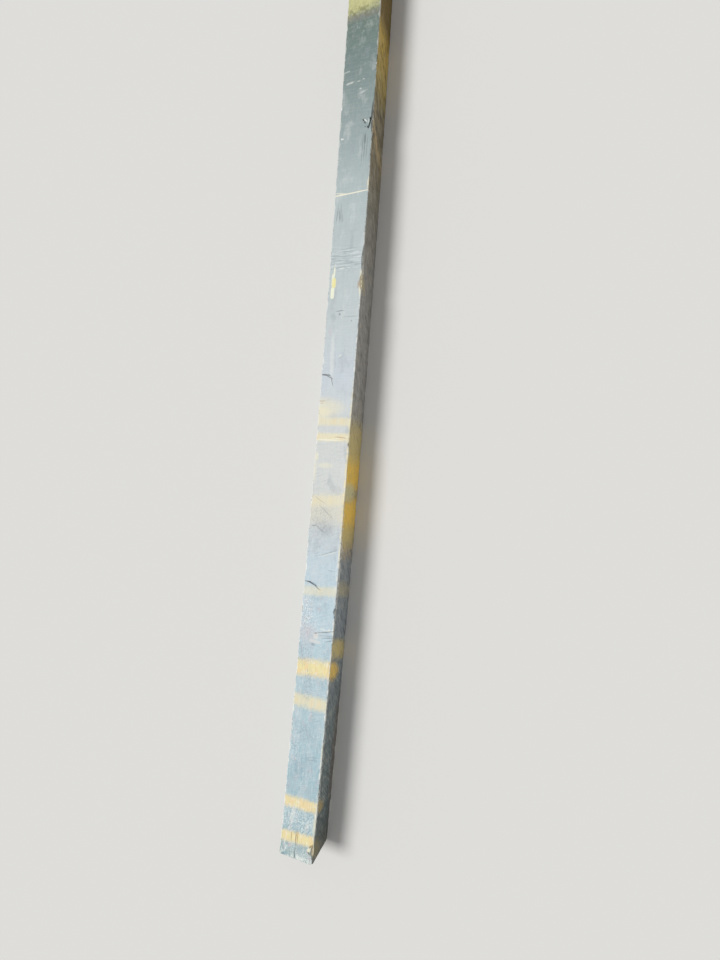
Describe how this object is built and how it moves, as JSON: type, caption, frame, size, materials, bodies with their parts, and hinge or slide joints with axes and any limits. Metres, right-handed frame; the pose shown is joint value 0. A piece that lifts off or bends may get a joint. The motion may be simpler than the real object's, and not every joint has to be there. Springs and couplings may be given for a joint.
{
  "type": "reclaimed wood beam",
  "caption": "Reclaimed square wood beam, slightly bowed, with worn blue-grey paint, yellow spray bands, a knot torn from one arris, cracks and nail holes.",
  "frame": {"origin": "centre of the bounding box's underside, where the beam lies on the floor", "axes": "+X along the grain from the foot end to the head end, +Z out of the painted show face, -Y out of the side face beside it, towards which the beam bows"},
  "size_m": [2.438, 0.1066, 0.095],
  "materials": {
    "painted_wood": "weathered blue-grey paint on rough-sawn softwood, with yellow sprayed bands and bare grey wood where it is worn through"
  },
  "bodies": {
    "root": {"beam": "painted_wood"}
  },
  "joints": []
}
